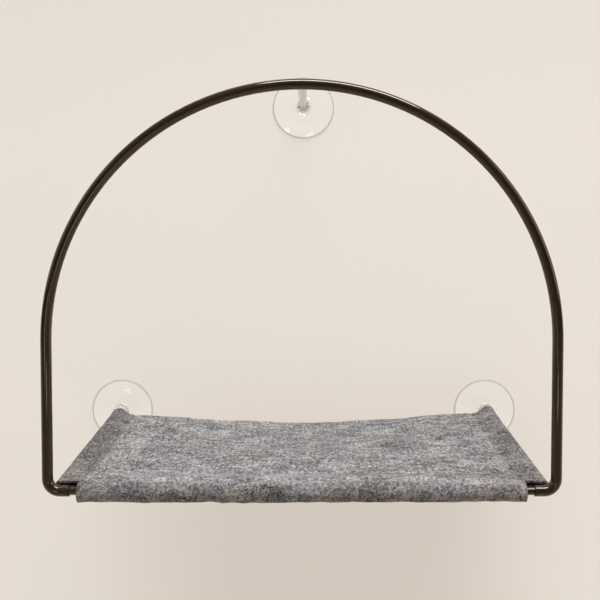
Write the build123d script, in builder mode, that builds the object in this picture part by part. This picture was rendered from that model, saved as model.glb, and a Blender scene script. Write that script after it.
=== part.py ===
"""Window mounted cat perch: a felt sling seat on a bent rod frame, hung inside a folding tube arch.

The glass is the plane Y = 0, with the suction cups pressed on it from the room side, where Y is negative.
X runs to the right and Z up. The origin lies on the glass, midway between the two lower cups.
All sizes are in millimetres.
"""

import os

from build123d import *

os.makedirs("parts", exist_ok=True)

# Overall layout
seat_depth = 300.0
side_rod_inset = 12.0
arch_radius = 282.0
arch_height = 449.0

# Arch tube
tube_diameter = 12.0
tube_wall = 1.0
arch_corner_radius = 14.0
arch_tail_length = 9.0

# Rods of the seat
rod_diameter = 9.0
frame_corner_radius = 14.0
rod_clearance = 0.4
frame_thread_depth = 16.0

# Hinge bush in each end of the arch
bush_length = 8.5
bush_flange_thickness = 1.2
journal_diameter = 8.0
dog_length = 3.0
running_clearance = 0.05
end_float = 0.3
fold_angle = 90.0
dog_side_angle = 0.5

# Clips that tie the front rod to the seat frame, inside the front sleeve
clip_wall = 1.8
clip_length = 14.0
clip_offset = 180.0
clip_count = 3

# Suction cup
cup_radius = 45.0
cup_height = 22.0
cup_rim_thickness = 1.4
cup_seal_width = 9.0
cup_hollow_depth = 3.6
cup_skirt_radius = 20.0
cup_skirt_height = 8.5
cup_neck_radius = 11.5
cup_neck_fillet = 3.0
skirt_middle_share = 0.44
neck_base_share = 0.68
hollow_middle_radius_share = 0.55
hollow_middle_depth_share = 0.72

# Stud moulded into each cup
stud_diameter = 6.0
stud_head_radius = 8.5
stud_head_thickness = 2.5
stud_head_cover = 7.0
stud_grip = 10.0
stud_end_chamfer = 0.8

# Lobed thumb nut
nut_radius = 9.5
nut_thickness = 8.0
nut_lobes = 8
nut_lobe_width = 4.4
nut_hub_radius = 5.4
nut_edge_chamfer = 1.0
nut_gap = 0.3

# Stay between the arch and the top cup
sheath_diameter = 10.5
sheath_bore = 8.0
core_diameter = 3.0
ferrule_length = 18.0
ferrule_flange_thickness = 1.6
ferrule_thread_depth = 11.0
insert_radius = 4.0
insert_depth = 7.0
insert_flange_radius = 5.0
insert_flange_thickness = 1.0
apex_stud_diameter = 5.0
apex_stud_in_insert = 6.0

# Felt sling
felt_thickness = 3.0
felt_gap = 0.4
front_sleeve_inset = 22.0
front_sleeve_slack = 1.0
front_sleeve_reach = 42.0
side_sleeve_width = 36.0
side_sleeve_rear_lift = 5.0
felt_front_setback = 16.0
felt_rear_setback = 33.0
seam_allowance = 8.0
panel_lap = 4.0
pocket_tip_height = 0.5
panel_top_height = 5.0
panel_mid_sag = 9.0
panel_rear_sag = 12.5
panel_front_sag = 0.6
sleeve_flat_share = 1 / 3
diagonal_share = 2**-0.5

# One overrun serves every cut that has to pass right through a wall
overrun = 1.0

# Sizes that follow from the driving ones
tube_radius = tube_diameter / 2
tube_bore_radius = tube_radius - tube_wall
rod_radius = rod_diameter / 2
stud_radius = stud_diameter / 2
journal_radius = journal_diameter / 2
front_rod_y = -seat_depth
side_rod_x = arch_radius - side_rod_inset
front_sleeve_half_width = side_rod_x - front_sleeve_inset
frame_bar_y = front_rod_y + tube_radius + rod_radius + rod_clearance
arch_centre_z = arch_height - arch_radius
tail_end_x = arch_radius - arch_corner_radius - arch_tail_length
nut_back_y = -cup_height - nut_gap
nut_front_y = nut_back_y - nut_thickness
rod_end_y = nut_front_y - nut_gap
clip_radius = rod_radius + clip_wall

cup_places = {
    "lower_left": (-side_rod_x, 0.0),
    "lower_right": (side_rod_x, 0.0),
    "top": (0.0, arch_height),
}


def towards_room(x, y, z):
    """A plane at a depth y whose normal points away from the glass, into the room."""
    return Plane(origin=(x, y, z), x_dir=(1, 0, 0), z_dir=(0, -1, 0))


def towards_glass(x, y, z):
    """A plane at a depth y whose normal points at the glass."""
    return Plane(origin=(x, y, z), x_dir=(-1, 0, 0), z_dir=(0, 1, 0))


def save(part, name):
    """Label a finished piece and write its STEP file."""
    part.label = name
    export_step(part, f"parts/{name}.step")


# Arch: one bent tube, a half circle on two upright legs, whose feet turn inward and end as open sockets
with BuildPart() as arch_tube:
    with BuildLine(Plane.XZ.offset(seat_depth)) as arch_path:
        right_tail = Line((tail_end_x, 0), (tail_end_x + arch_tail_length, 0))
        right_corner = TangentArc(right_tail @ 1, (arch_radius, arch_corner_radius), tangent=right_tail % 1)
        right_leg = Line(right_corner @ 1, (arch_radius, arch_centre_z))
        hoop = ThreePointArc(right_leg @ 1, (0, arch_height), (-arch_radius, arch_centre_z))
        left_leg = Line(hoop @ 1, (-arch_radius, arch_corner_radius))
        left_corner = TangentArc(
            left_leg @ 1, (-arch_radius + arch_corner_radius, 0), tangent=left_leg % 1
        )
        Line(left_corner @ 1, (-tail_end_x, 0))
    with BuildSketch(Plane(origin=right_tail @ 0, z_dir=right_tail % 0)):
        Circle(tube_radius)
        Circle(tube_bore_radius, mode=Mode.SUBTRACT)
    sweep(path=arch_path.wire())
    # Round hole in the back of the tube, at the top, for the threaded insert
    with BuildSketch(towards_glass(0, front_rod_y, arch_height)):
        Circle(insert_radius)
    extrude(amount=tube_radius + overrun, mode=Mode.SUBTRACT)
save(arch_tube.part, "arch_tube")

# Hinge bushes: a flanged sleeve in each end of the arch, with a quarter dog that stops the fold
bush_dog_angle = 180 - fold_angle - 2 * dog_side_angle
bore_radius = journal_radius + running_clearance
for side, name in ((1, "arch_bush_right"), (-1, "arch_bush_left")):
    # Each bush is drawn on the end of the tube, looking into it
    mouth = Plane(origin=(side * tail_end_x, front_rod_y, 0), x_dir=(0, 1, 0), z_dir=(side, 0, 0))
    # The dog stands below the front rod's dog, seen with Y along the plane's x axis
    dog_start = 180 + dog_side_angle if side == 1 else 90 + dog_side_angle
    with BuildPart() as bush:
        with BuildSketch(mouth.offset(-bush_flange_thickness)):
            Circle(tube_radius)
        extrude(amount=bush_flange_thickness)
        with BuildSketch(mouth):
            Circle(tube_bore_radius)
        extrude(amount=bush_length)
        with BuildSketch(mouth.offset(-bush_flange_thickness)):
            Circle(bore_radius)
        extrude(amount=bush_flange_thickness + bush_length, mode=Mode.SUBTRACT)
        with BuildSketch(mouth.offset(bush_length - dog_length)):
            with BuildLine():
                dog_arc = CenterArc((0, 0), bore_radius + running_clearance, dog_start, bush_dog_angle)
                Line((0, 0), dog_arc @ 0)
                Line(dog_arc @ 1, (0, 0))
            make_face()
        extrude(amount=dog_length)
    save(bush.part, name)

# Front rod: the bar between the arch's ends, turned down to a journal with a half-round dog at each end
rod_shoulder_x = tail_end_x - bush_flange_thickness - end_float
journal_end_x = tail_end_x + bush_length - dog_length - end_float
dog_end_x = tail_end_x + bush_length - running_clearance
with BuildPart() as front_rod:
    with BuildSketch(Plane(origin=(-rod_shoulder_x, front_rod_y, 0), z_dir=(1, 0, 0))):
        Circle(rod_radius)
    extrude(amount=2 * rod_shoulder_x)
    with BuildSketch(Plane(origin=(-journal_end_x, front_rod_y, 0), z_dir=(1, 0, 0))):
        Circle(journal_radius)
    extrude(amount=2 * journal_end_x)
    # The half-round dogs fill the upper half of the journal
    dog_reach = dog_end_x - journal_end_x
    for dog_x in (-dog_end_x, journal_end_x):
        with BuildSketch(Plane(origin=(dog_x, front_rod_y, 0), x_dir=(0, 1, 0), z_dir=(1, 0, 0))):
            with BuildLine():
                half_round = CenterArc(
                    (0, 0), journal_radius, dog_side_angle, 180 - 2 * dog_side_angle
                )
                Line(half_round @ 1, half_round @ 0)
            make_face()
        extrude(amount=dog_reach)
save(front_rod.part, "front_rod")

# Seat frame: one rod bent to a U, lying behind the front rod, with a tapped hole in each rear end
frame_corner_x = side_rod_x - frame_corner_radius
frame_corner_y = frame_bar_y + frame_corner_radius
with BuildPart() as seat_frame:
    with BuildLine() as frame_path:
        left_rod = Line((-side_rod_x, rod_end_y), (-side_rod_x, frame_corner_y))
        left_bend = TangentArc(left_rod @ 1, (-frame_corner_x, frame_bar_y), tangent=left_rod % 1)
        frame_bar = Line(left_bend @ 1, (frame_corner_x, frame_bar_y))
        right_bend = TangentArc(
            frame_bar @ 1, (side_rod_x, frame_corner_y), tangent=frame_bar % 1
        )
        Line(right_bend @ 1, (side_rod_x, rod_end_y))
    with BuildSketch(Plane(origin=left_rod @ 0, z_dir=left_rod % 0)):
        Circle(rod_radius)
    sweep(path=frame_path.wire())
    for side in (-1, 1):
        with BuildSketch(towards_room(side * side_rod_x, rod_end_y, 0)):
            Circle(stud_radius + running_clearance)
        extrude(amount=frame_thread_depth, mode=Mode.SUBTRACT)
save(seat_frame.part, "seat_frame")

# Bar clips: two-hole clips that hold the front rod and the seat frame's bar together
clip_names = ("bar_clip_left", "bar_clip_middle", "bar_clip_right")
for index, name in enumerate(clip_names):
    clip_x = (index - (clip_count - 1) / 2) * clip_offset - clip_length / 2
    with BuildPart() as clip:
        clip_plane = Plane(origin=(clip_x, 0, 0), x_dir=(0, 1, 0), z_dir=(1, 0, 0))
        with BuildSketch(clip_plane):
            with Locations((front_rod_y, 0), (frame_bar_y, 0)):
                Circle(clip_radius)
            with Locations(((front_rod_y + frame_bar_y) / 2, 0)):
                Rectangle(frame_bar_y - front_rod_y, clip_radius)
            with Locations((front_rod_y, 0), (frame_bar_y, 0)):
                Circle(rod_radius + running_clearance, mode=Mode.SUBTRACT)
        extrude(amount=clip_length)
    save(clip.part, name)


# Suction cup assemblies
def stud_profile(grip):
    """Half section of a cup's stud, as radius and depth: a round disc head, then the threaded shank."""
    head_y = -stud_head_cover
    tip_y = nut_front_y - nut_gap - grip
    with BuildLine() as outline:
        Polyline(
            (0, head_y),
            (stud_head_radius, head_y),
            (stud_head_radius, head_y - stud_head_thickness),
            (stud_radius, head_y - stud_head_thickness),
            (stud_radius, tip_y + stud_end_chamfer),
            (stud_radius - stud_end_chamfer, tip_y),
            (0, tip_y),
            close=True,
        )
    return outline


def make_stud(x, z, grip):
    """A stud turned about the cup's axis, with its head inside the cup."""
    with BuildPart() as stud:
        with BuildSketch(Plane(origin=(x, 0, z), x_dir=(1, 0, 0), z_dir=(0, 0, 1))):
            add(stud_profile(grip).line)
            make_face()
        revolve(axis=Axis((x, 0, z), (0, 1, 0)))
    return stud.part


def make_cup(x, z, stud):
    """A cup turned about its axis: flat sealing ring, hollow dome, flared skirt and straight neck."""
    hollow_radius = cup_radius - cup_seal_width
    skirt_middle_y = (cup_rim_thickness + cup_skirt_height) * skirt_middle_share
    neck_base_y = -cup_height * neck_base_share
    with BuildPart() as cup:
        with BuildSketch(Plane(origin=(x, 0, z), x_dir=(1, 0, 0), z_dir=(0, 0, 1))):
            with BuildLine():
                Line((hollow_radius, 0), (cup_radius, 0))
                Line((cup_radius, 0), (cup_radius, -cup_rim_thickness))
                skirt = ThreePointArc(
                    (cup_radius, -cup_rim_thickness),
                    ((cup_radius + cup_skirt_radius) / 2, -skirt_middle_y),
                    (cup_skirt_radius, -cup_skirt_height),
                )
                Spline(
                    skirt @ 1,
                    (cup_neck_radius, neck_base_y),
                    tangents=(skirt % 1, (0, -1)),
                )
                Line((cup_neck_radius, neck_base_y), (cup_neck_radius, -cup_height))
                Line((cup_neck_radius, -cup_height), (0, -cup_height))
                Line((0, -cup_height), (0, -cup_hollow_depth))
                ThreePointArc(
                    (0, -cup_hollow_depth),
                    (
                        hollow_radius * hollow_middle_radius_share,
                        -cup_hollow_depth * hollow_middle_depth_share,
                    ),
                    (hollow_radius, 0),
                )
            make_face()
        revolve(axis=Axis((x, 0, z), (0, 1, 0)))
        top_edges = cup.edges().filter_by(GeomType.CIRCLE).group_by(Axis.Y)[0]
        fillet(top_edges, radius=cup_neck_fillet)
        add(stud, mode=Mode.SUBTRACT)
    return cup.part


def make_nut(x, z):
    """A lobed thumb nut: rounded petals round a hub, with a plain bore for the stud."""
    petal_length = nut_radius - nut_lobe_width / 2
    with BuildPart() as nut:
        with BuildSketch(towards_room(x, nut_back_y, z)):
            Circle(nut_hub_radius)
            with PolarLocations(0, nut_lobes):
                with Locations((petal_length / 2, 0)):
                    SlotCenterToCenter(petal_length, nut_lobe_width)
        extrude(amount=nut_thickness)
        rims = nut.faces().filter_by(Axis.Y).edges()
        chamfer(rims, length=nut_edge_chamfer)
        with BuildSketch(towards_room(x, nut_back_y, z)):
            Circle(stud_radius + running_clearance)
        extrude(amount=nut_thickness, mode=Mode.SUBTRACT)
    return nut.part


for place, (cup_x, cup_z) in cup_places.items():
    cup_stud = make_stud(cup_x, cup_z, stud_grip)
    save(make_cup(cup_x, cup_z, cup_stud), f"{place}_cup")
    save(cup_stud, f"{place}_stud")
    save(make_nut(cup_x, cup_z), f"{place}_nut")

# Top of the arch: a threaded insert in the tube's back, and the stud that the stay screws on
insert_back_y = front_rod_y + tube_radius
insert_face_y = insert_back_y + insert_flange_thickness
stay_front_y = insert_face_y + end_float
stay_wall_y = rod_end_y
with BuildPart() as apex_insert:
    with BuildSketch(towards_room(0, insert_back_y, arch_height)):
        Circle(insert_radius)
    extrude(amount=insert_depth)
    with BuildSketch(towards_glass(0, insert_back_y, arch_height)):
        Circle(insert_flange_radius)
    extrude(amount=insert_flange_thickness)
    with BuildSketch(towards_room(0, insert_face_y, arch_height)):
        Circle(apex_stud_diameter / 2)
    extrude(amount=insert_flange_thickness + insert_depth, mode=Mode.SUBTRACT)
save(apex_insert.part, "apex_insert")

with BuildPart() as apex_stud:
    with BuildSketch(towards_glass(0, insert_back_y - apex_stud_in_insert, arch_height)):
        Circle(apex_stud_diameter / 2)
    extrude(amount=apex_stud_in_insert + insert_flange_thickness + stud_grip)
    chamfer(apex_stud.faces().filter_by(Axis.Y).edges(), length=stud_end_chamfer)
save(apex_stud.part, "apex_stud")


def make_ferrule(outer_plane, thread_radius):
    """A flanged plug for one end of the stay, threaded outside and holding the core inside."""
    with BuildPart() as ferrule:
        with BuildSketch(outer_plane):
            Circle(sheath_diameter / 2)
        extrude(amount=ferrule_flange_thickness)
        with BuildSketch(outer_plane):
            Circle(sheath_bore / 2)
        extrude(amount=ferrule_length)
        with BuildSketch(outer_plane):
            Circle(thread_radius + running_clearance)
        extrude(amount=ferrule_thread_depth, mode=Mode.SUBTRACT)
        with BuildSketch(outer_plane.offset(ferrule_thread_depth)):
            Circle(core_diameter / 2)
        extrude(amount=ferrule_length - ferrule_thread_depth, mode=Mode.SUBTRACT)
    return ferrule.part


front_plane = towards_glass(0, stay_front_y, arch_height)
wall_plane = towards_room(0, stay_wall_y, arch_height)
save(make_ferrule(front_plane, apex_stud_diameter / 2), "stay_front_ferrule")
save(make_ferrule(wall_plane, stud_radius), "stay_wall_ferrule")

# Stay: a steel core inside a clear sheath, both held by the ferrules
sheath_front_y = stay_front_y + ferrule_flange_thickness
sheath_wall_y = stay_wall_y - ferrule_flange_thickness
with BuildPart() as stay_sheath:
    with BuildSketch(towards_glass(0, sheath_front_y, arch_height)):
        Circle(sheath_diameter / 2)
        Circle(sheath_bore / 2, mode=Mode.SUBTRACT)
    extrude(amount=sheath_wall_y - sheath_front_y)
save(stay_sheath.part, "stay_sheath")

core_front_y = stay_front_y + ferrule_thread_depth
core_wall_y = stay_wall_y - ferrule_thread_depth
with BuildPart() as stay_core:
    with BuildSketch(towards_glass(0, core_front_y, arch_height)):
        Circle(core_diameter / 2)
    extrude(amount=core_wall_y - core_front_y)
save(stay_core.part, "stay_core")

# Felt sling: one cut sheet whose front and side edges are folded under and sewn down as sleeves
sleeve_top = clip_radius + felt_gap
front_inner_y = front_rod_y - clip_radius - felt_gap
sleeve_bottom = sleeve_top + front_sleeve_slack
front_seam_y = front_rod_y + front_sleeve_reach
front_tip_y = front_seam_y - seam_allowance
panel_bottom_height = panel_top_height - felt_thickness
flap_bottom_height = panel_bottom_height - felt_thickness
side_inner_x = side_rod_x + rod_radius + felt_gap
side_outer_x = side_inner_x + felt_thickness
side_seam_x = side_outer_x - side_sleeve_width
side_tip_x = side_seam_x + seam_allowance
side_inner_height = rod_radius + felt_gap
side_flat_x = side_rod_x - side_sleeve_width * sleeve_flat_share
felt_front_y = front_rod_y + felt_front_setback
felt_rear_y = -felt_rear_setback


def side_outline(side, rear, inner):
    """Closed outline of a side sleeve in the XZ plane: the felt's outer skin, or the pocket inside it."""
    lift = side_sleeve_rear_lift if rear else 0.0
    grow = 0.0 if inner else felt_thickness
    top = side_inner_height + grow + lift
    bottom = -side_inner_height - grow
    outer_x = side_inner_x + grow
    shoulder_x = side_rod_x + (outer_x - side_rod_x) * diagonal_share
    inner_edge = side_tip_x if inner else side_seam_x
    inner_top = panel_bottom_height if inner else panel_top_height
    inner_bottom = panel_bottom_height - pocket_tip_height if inner else flap_bottom_height
    with BuildLine() as outline:
        Line((side * inner_edge, inner_bottom), (side * inner_edge, inner_top))
        Line((side * inner_edge, inner_top), (side * side_flat_x, top))
        Line((side * side_flat_x, top), (side * side_rod_x, top))
        ThreePointArc(
            (side * side_rod_x, top),
            (side * shoulder_x, top * diagonal_share),
            (side * outer_x, 0),
        )
        ThreePointArc(
            (side * outer_x, 0),
            (side * shoulder_x, bottom * diagonal_share),
            (side * side_rod_x, bottom),
        )
        Line((side * side_rod_x, bottom), (side * side_flat_x, bottom))
        Line((side * side_flat_x, bottom), (side * inner_edge, inner_bottom))
    return outline.line


def side_sleeve(side, inner):
    """A side sleeve, or its pocket, lofted from its front mouth to its raised rear end."""
    extra = overrun if inner else 0.0
    with BuildPart() as sleeve:
        for rear, y in ((False, felt_front_y - extra), (True, felt_rear_y + extra)):
            with BuildSketch(Plane(origin=(0, y, 0), x_dir=(1, 0, 0), z_dir=(0, -1, 0))):
                add(side_outline(side, rear, inner))
                make_face()
        loft(ruled=True)
    return sleeve.part


side_skins = [side_sleeve(side, inner=False) for side in (-1, 1)]
side_pockets = [side_sleeve(side, inner=True) for side in (-1, 1)]

with BuildPart() as felt_sling:
    # The seat panel: cross sections from the front seam to the rear edge, sagging more towards the rear
    panel_half_width = side_seam_x + panel_lap
    panel_sections = (
        (front_seam_y - panel_lap, panel_front_sag),
        ((front_seam_y + felt_rear_y) / 2, panel_mid_sag),
        (felt_rear_y, panel_rear_sag),
    )
    for section_y, sag in panel_sections:
        with BuildSketch(Plane(origin=(0, section_y, 0), x_dir=(1, 0, 0), z_dir=(0, -1, 0))):
            with BuildLine():
                top_line = ThreePointArc(
                    (-panel_half_width, panel_top_height),
                    (0, panel_top_height - sag),
                    (panel_half_width, panel_top_height),
                )
                bottom_line = ThreePointArc(
                    (-panel_half_width, panel_bottom_height),
                    (0, panel_bottom_height - sag),
                    (panel_half_width, panel_bottom_height),
                )
                Line(top_line @ 0, bottom_line @ 0)
                Line(top_line @ 1, bottom_line @ 1)
            make_face()
    loft()
    # The side sleeves, then the front sleeve across the full seat
    for skin in side_skins:
        add(skin)
    front_start = Plane(origin=(-front_sleeve_half_width, 0, 0), x_dir=(0, 1, 0), z_dir=(1, 0, 0))
    outer_top = sleeve_top + felt_thickness
    outer_bottom = -sleeve_bottom - felt_thickness
    outer_front_y = front_inner_y - felt_thickness
    with BuildSketch(front_start):
        with BuildLine():
            Line((front_seam_y, flap_bottom_height), (front_seam_y, panel_top_height))
            Line((front_seam_y, panel_top_height), (frame_bar_y, outer_top))
            Line((frame_bar_y, outer_top), (front_rod_y, outer_top))
            ThreePointArc(
                (front_rod_y, outer_top),
                (outer_front_y, (outer_top + outer_bottom) / 2),
                (front_rod_y, outer_bottom),
            )
            Line((front_rod_y, outer_bottom), (frame_bar_y, outer_bottom))
            Line((frame_bar_y, outer_bottom), (front_seam_y, flap_bottom_height))
        make_face()
    extrude(amount=2 * front_sleeve_half_width)
    # The pockets that the rods lie in
    for pocket in side_pockets:
        add(pocket, mode=Mode.SUBTRACT)
    pocket_start = front_start.offset(-overrun)
    with BuildSketch(pocket_start):
        with BuildLine():
            Line((front_tip_y, panel_bottom_height), (frame_bar_y, sleeve_top))
            Line((frame_bar_y, sleeve_top), (front_rod_y, sleeve_top))
            ThreePointArc(
                (front_rod_y, sleeve_top),
                (front_inner_y, (sleeve_top - sleeve_bottom) / 2),
                (front_rod_y, -sleeve_bottom),
            )
            Line((front_rod_y, -sleeve_bottom), (frame_bar_y, -sleeve_bottom))
            Line((frame_bar_y, -sleeve_bottom), (front_tip_y, panel_bottom_height))
        make_face()
    extrude(amount=2 * (front_sleeve_half_width + overrun), mode=Mode.SUBTRACT)
save(felt_sling.part, "felt_sling")
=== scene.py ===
"""Window mounted cat perch: the felt, paint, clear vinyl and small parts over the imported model.

Lengths inside the functions are in millimetres, and become metres where a mesh is made. Materials, the
camera and the lamps work in metres.
X runs right, Z up, and the glass is the plane Y = 0 with the room at negative Y.
"""

import math

import bpy
import numpy as np
from mathutils import Matrix, Vector


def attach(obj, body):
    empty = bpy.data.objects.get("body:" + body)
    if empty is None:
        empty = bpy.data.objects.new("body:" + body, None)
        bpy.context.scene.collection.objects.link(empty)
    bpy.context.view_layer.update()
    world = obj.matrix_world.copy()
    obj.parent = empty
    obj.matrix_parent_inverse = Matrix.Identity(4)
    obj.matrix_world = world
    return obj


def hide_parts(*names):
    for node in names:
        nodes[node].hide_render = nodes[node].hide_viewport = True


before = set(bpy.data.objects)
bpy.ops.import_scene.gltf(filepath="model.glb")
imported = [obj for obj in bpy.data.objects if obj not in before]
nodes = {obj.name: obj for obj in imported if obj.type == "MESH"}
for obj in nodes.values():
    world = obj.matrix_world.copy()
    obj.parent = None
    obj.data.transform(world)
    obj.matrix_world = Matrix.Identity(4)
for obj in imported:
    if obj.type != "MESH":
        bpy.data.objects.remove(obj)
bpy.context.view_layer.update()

# One millimetre in metres
mm = 0.001

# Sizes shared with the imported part, in millimetres
arch_height = 449.0
side_rod_x = 270.0
nut_back_y = -22.3
nut_thickness = 8.0
cup_places = {"lower_left": (-side_rod_x, 0.0), "lower_right": (side_rod_x, 0.0), "top": (0.0, arch_height)}

# The felt sheet, in millimetres. Across it, s runs from the middle: the seam and the end of the front sleeve,
# then where the sheet starts round the side rod, where it turns back under, and its cut edge
felt_thickness = 3.0
seam_x = 242.0
front_end_x = 248.0
across_arc = 270.0
across_under = 292.0
across_end = 323.0

# Along it, t runs from the rear edge: the panel's front edge, where the sheet starts down round the front
# bars, where it turns back under, and the start and end of the lap that is sewn to the panel
rear_edge_y = -33.0
front_edge_y = -295.0
wrap_y = -300.0
wrap_reach = 8.2
bar_top = 8.2
bar_bottom = -10.3
mouth_t = rear_edge_y - front_edge_y
wrap_t = mouth_t + 5.0
wrap_under_t = wrap_t + 28.0
flap_t = wrap_under_t + 11.0
flap_end_t = flap_t + 36.0


# Mesh helpers
def add_mesh(name, points, faces, uv=None):
    """A smooth mesh object from an array of points in millimetres and an array of faces of one size."""
    mesh = bpy.data.meshes.new(name)
    points = np.asarray(points, float) * mm
    faces = np.asarray(faces, np.int32)
    mesh.from_pydata(points, [], faces)
    if uv is not None:
        layer = mesh.uv_layers.new(name="flat")
        corner = np.empty(len(mesh.loops), np.int32)
        mesh.loops.foreach_get("vertex_index", corner)
        layer.data.foreach_set("uv", np.asarray(uv, float)[corner].ravel())
    mesh.polygons.foreach_set("use_smooth", np.full(len(mesh.polygons), True))
    mesh.update()
    made = bpy.data.objects.new(name, mesh)
    bpy.context.scene.collection.objects.link(made)
    return made


def grid_faces(rows, columns, wrap_rows=False, wrap_columns=False):
    """Quads over a grid of points kept row by row; a wrapped side joins its last line to its first."""
    each_row = np.arange(rows if wrap_rows else rows - 1)
    each_column = np.arange(columns if wrap_columns else columns - 1)
    i, j = np.meshgrid(each_row, each_column, indexing="ij")
    down, right = (i + 1) % rows, (j + 1) % columns
    quads = np.stack([i * columns + j, i * columns + right, down * columns + right, down * columns + j], -1)
    return quads.reshape(-1, 4)


def smooth_step(value):
    """3u^2 - 2u^3 for u held between 0 and 1: level at both ends."""
    u = np.clip(value, 0, 1)
    return u * u * (3 - 2 * u)


def ripple(x, y, wavelength, seed, waves=14):
    """Even, rounded unevenness: sine waves of about the given wavelength, in seeded directions, added up.

    Their sum is divided by the root of half their number, which brings its mean square to 1.
    """
    rng = np.random.default_rng(seed)
    turn = rng.uniform(0, 2 * np.pi, waves)
    phase = rng.uniform(0, 2 * np.pi, waves)
    size = 2 * np.pi / (wavelength * rng.uniform(0.7, 1.5, waves))
    total = np.zeros(np.broadcast(x, y).shape)
    for k in range(waves):
        total += np.sin(size[k] * (x * np.cos(turn[k]) + y * np.sin(turn[k])) + phase[k])
    return total / math.sqrt(waves / 2)


# Material helpers
def linear(colour):
    """sRGB hex to linear RGBA: c/12.92 below 0.04045, else ((c+0.055)/1.055)^2.4."""
    parts = [int(colour[i : i + 2], 16) / 255 for i in (1, 3, 5)]
    return tuple(c / 12.92 if c <= 0.04045 else ((c + 0.055) / 1.055) ** 2.4 for c in parts) + (1.0,)


def add_node(tree, kind, inputs=None, stops=(), **settings):
    """Adds a node with its settings, and puts a value or a link in each named or numbered socket.

    A colour ramp also gets its stops, each a position from 0 to 1 and an sRGB hex colour.
    """
    made = tree.nodes.new(kind)
    for key, value in settings.items():
        setattr(made, key, value)
    for key, value in (inputs or {}).items():
        if isinstance(value, bpy.types.NodeSocket):
            tree.links.new(value, made.inputs[key])
        else:
            made.inputs[key].default_value = value
    for number, (position, colour) in enumerate(stops):
        if number >= 2:
            made.color_ramp.elements.new(position)
        made.color_ramp.elements[number].position = position
        made.color_ramp.elements[number].color = linear(colour)
    return made


def start_material(name):
    """An empty material, returned with its node tree."""
    material = bpy.data.materials.new(name)
    material.use_nodes = True
    material.node_tree.nodes.clear()
    return material, material.node_tree


def powder_coat(name, colour, glint):
    """Gloss powder coat on bent steel: a dark bronze film with a faint orange peel about 1.5 mm across.

    Its bronze and its gloss drift slightly over about 35 mm. Metal flakes under the film make it shine about
    twice as much as a plain coat.
    """
    material, tree = start_material(name)
    place = add_node(tree, "ShaderNodeTexCoord").outputs["Object"]
    peel = add_node(tree, "ShaderNodeTexNoise", {"Vector": place, "Scale": 650.0, "Detail": 2.0})
    cloud = add_node(tree, "ShaderNodeTexNoise", {"Vector": place, "Scale": 28.0, "Detail": 3.0})
    tone = add_node(
        tree, "ShaderNodeValToRGB", {"Fac": cloud.outputs["Fac"]}, stops=((0.3, colour), (0.7, glint))
    )
    rough = add_node(
        tree, "ShaderNodeMapRange", {"Value": cloud.outputs["Fac"], "To Min": 0.07, "To Max": 0.12}
    )
    bump = add_node(
        tree, "ShaderNodeBump", {"Height": peel.outputs["Fac"], "Strength": 0.08, "Distance": 0.0002}
    )
    shader = add_node(
        tree,
        "ShaderNodeBsdfPrincipled",
        {
            "Base Color": tone.outputs["Color"],
            "Roughness": rough.outputs["Result"],
            "IOR": 1.5,
            "Specular IOR Level": 0.95,
            "Specular Tint": linear("#FBE9D6"),
            "Normal": bump.outputs["Normal"],
        },
    )
    add_node(tree, "ShaderNodeOutputMaterial", {"Surface": shader.outputs["BSDF"]})
    return material


def felt_strokes(tree, place, turn):
    """Fibres that lie one way: noise 1.2 mm wide and drawn out to 3.8 mm, turned on the sheet by radians."""
    laid = add_node(
        tree,
        "ShaderNodeMapping",
        {"Vector": place, "Rotation": (0.0, 0.0, turn), "Scale": (1.2 * mm, 3.8 * mm, 1.0)},
        vector_type="TEXTURE",
    )
    return add_node(
        tree,
        "ShaderNodeTexNoise",
        {"Vector": laid.outputs["Vector"], "Scale": 1.0, "Detail": 1.0, "Roughness": 0.6, "Distortion": 0.5},
    ).outputs["Fac"]


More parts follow.
